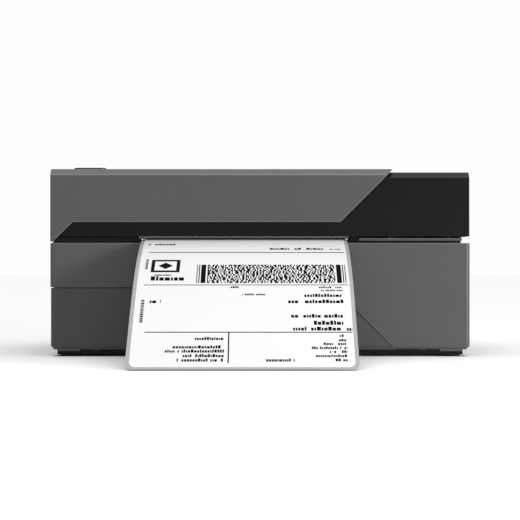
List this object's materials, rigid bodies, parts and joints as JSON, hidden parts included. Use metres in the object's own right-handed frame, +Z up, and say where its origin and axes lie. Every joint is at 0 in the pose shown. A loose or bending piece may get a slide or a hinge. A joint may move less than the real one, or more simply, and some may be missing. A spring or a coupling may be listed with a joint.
{
  "type": "thermal label printer",
  "caption": "Desktop direct-thermal label printer with a rear-hinged lid, a platen roller under a print head, sliding media guides and a label strip hanging from the front slot.",
  "frame": {"origin": "on the table under the centre of the case, level with the soles of the feet", "axes": "+X to the right across the label slot, +Y to the back, +Z up"},
  "size_m": [0.215, 0.1966, 0.0974],
  "materials": {
    "case_grey": "fine moulded texture",
    "panel_grey": "fine moulded texture",
    "black_plastic": "fine moulded texture",
    "foot_rubber": "matte",
    "platen_rubber": "ground",
    "shaft_steel": "ground",
    "zinc_steel": "zinc plated",
    "screw_steel": "zinc plated",
    "tear_steel": "stamped",
    "spring_steel": "drawn",
    "motor_steel": "satin black",
    "heatsink_aluminium": "extruded",
    "nylon": "natural",
    "bush_plastic": "natural",
    "circuit_board": "solder mask",
    "chip_black": "moulded",
    "connector_ivory": "moulded",
    "capacitor_can": "sleeved",
    "socket_steel": "bright",
    "head_ceramic": "glazed",
    "label_paper": "matte coated",
    "liner_paper": "glassine",
    "cable_sheath": "sleeved",
    "button_plastic": "satin"
  },
  "bodies": {
    "base": {"base_shell": "case_grey", "front_lower_panel": "panel_grey", "hinge_brackets": "black_plastic", "hinge_pins": "shaft_steel", "bottom_cover": "black_plastic", "rubber_feet": "foot_rubber", "case_screws": "screw_steel", "media_deck": "black_plastic", "paper_ribs": "black_plastic", "right_deck_cover": "case_grey", "media_sensor": "chip_black", "side_plate": "zinc_steel", "gear_plate": "zinc_steel", "chassis_screws": "screw_steel", "platen_bushes": "bush_plastic", "idler_axle": "shaft_steel", "stepper_motor": "motor_steel", "motor_screws": "screw_steel", "pinion_screw": "screw_steel", "main_board": "circuit_board", "board_screws": "screw_steel", "board_chips": "chip_black", "board_capacitors": "capacitor_can", "board_connectors": "connector_ivory", "usb_socket": "socket_steel", "power_inlet": "black_plastic", "switch_housing": "black_plastic", "motor_cable": "cable_sheath", "label_liner": "liner_paper", "printed_label": "label_paper"},
    "platen": {"platen_roller": "platen_rubber", "platen_shaft": "shaft_steel", "platen_gear": "nylon"},
    "idler": {"idler_gear": "nylon"},
    "motor_rotor": {"motor_pinion": "nylon", "motor_shaft": "shaft_steel"},
    "guide_left": {"guide_left": "black_plastic"},
    "guide_right": {"guide_right": "black_plastic"},
    "guide_pinion": {"guide_pinion": "nylon"},
    "power_rocker": {"power_rocker": "button_plastic"},
    "lid": {"lid_frame": "black_plastic", "lid_back_trims": "black_plastic", "lid_cover": "case_grey", "lid_hinge_arms": "black_plastic", "lid_inner_cover": "black_plastic", "lid_screws": "screw_steel", "tear_bar": "tear_steel", "head_pivot_pins": "shaft_steel", "head_bracket": "zinc_steel", "bracket_screws": "screw_steel", "button_board": "circuit_board", "button_switch": "chip_black", "head_springs": "spring_steel"},
    "print_head": {"print_head_board": "head_ceramic", "head_heatsink": "heatsink_aluminium", "head_connector": "connector_ivory"},
    "latch": {"latch_shaft": "shaft_steel", "latch_hooks": "black_plastic", "latch_spring": "spring_steel"},
    "feed_button": {"feed_button": "button_plastic"}
  },
  "joints": [
    {"name": "lid_hinge", "type": "hinge", "parent": "base", "child": "lid", "pos_m": [0, 0.0493, 0.06], "axis": [-1, 0, 0], "range_deg": [0, 70]},
    {"name": "head_float", "type": "hinge", "parent": "lid", "child": "print_head", "pos_m": [0, -0.026, 0.068], "axis": [-1, 0, 0], "range_deg": [0, 1.5], "stiffness_Nm_per_rad": 2, "springref_deg": -5.73, "deforming": ["head_springs"]},
    {"name": "latch_release", "type": "hinge", "parent": "lid", "child": "latch", "pos_m": [0, -0.008, 0.072], "axis": [-1, 0, 0], "range_deg": [0, 8], "stiffness_Nm_per_rad": 0.1, "springref_deg": -11.46},
    {"name": "feed_press", "type": "slide", "parent": "lid", "child": "feed_button", "axis": [0, 0, -1], "range_m": [0, 0.0004], "stiffness_N_per_m": 500, "springref_m": -0.0004},
    {"name": "platen_spin", "type": "hinge", "parent": "base", "child": "platen", "pos_m": [-0.008, -0.04, 0.053], "axis": [1, 0, 0], "continuous": true},
    {"name": "idler_spin", "type": "hinge", "parent": "base", "child": "idler", "pos_m": [0.0575, -0.02899, 0.03727], "axis": [1, 0, 0], "continuous": true},
    {"name": "motor_spin", "type": "hinge", "parent": "base", "child": "motor_rotor", "pos_m": [0.0575, -0.01449, 0.03051], "axis": [1, 0, 0], "continuous": true},
    {"name": "guide_left_slide", "type": "slide", "parent": "base", "child": "guide_left", "axis": [1, 0, 0], "range_m": [-0.0032, 0.027]},
    {"name": "guide_right_slide", "type": "slide", "parent": "base", "child": "guide_right", "axis": [1, 0, 0], "range_m": [-0.027, 0.0032]},
    {"name": "guide_pinion_spin", "type": "hinge", "parent": "base", "child": "guide_pinion", "pos_m": [-0.008, 0.027, 0.0543], "axis": [0, 0, 1], "range_deg": [-46, 387]},
    {"name": "rocker_tilt", "type": "hinge", "parent": "base", "child": "power_rocker", "pos_m": [0.0695, 0.0487, 0.022], "axis": [0, 0, 1], "range_deg": [0, 16]}
  ],
  "couplings": [
    {"joint": "idler_spin", "follows": "platen_spin", "ratio": -0.6},
    {"joint": "motor_spin", "follows": "platen_spin", "ratio": 1.8},
    {"joint": "guide_right_slide", "follows": "guide_left_slide", "ratio": -1},
    {"joint": "guide_pinion_spin", "follows": "guide_left_slide", "rad_per_m": 250}
  ]
}
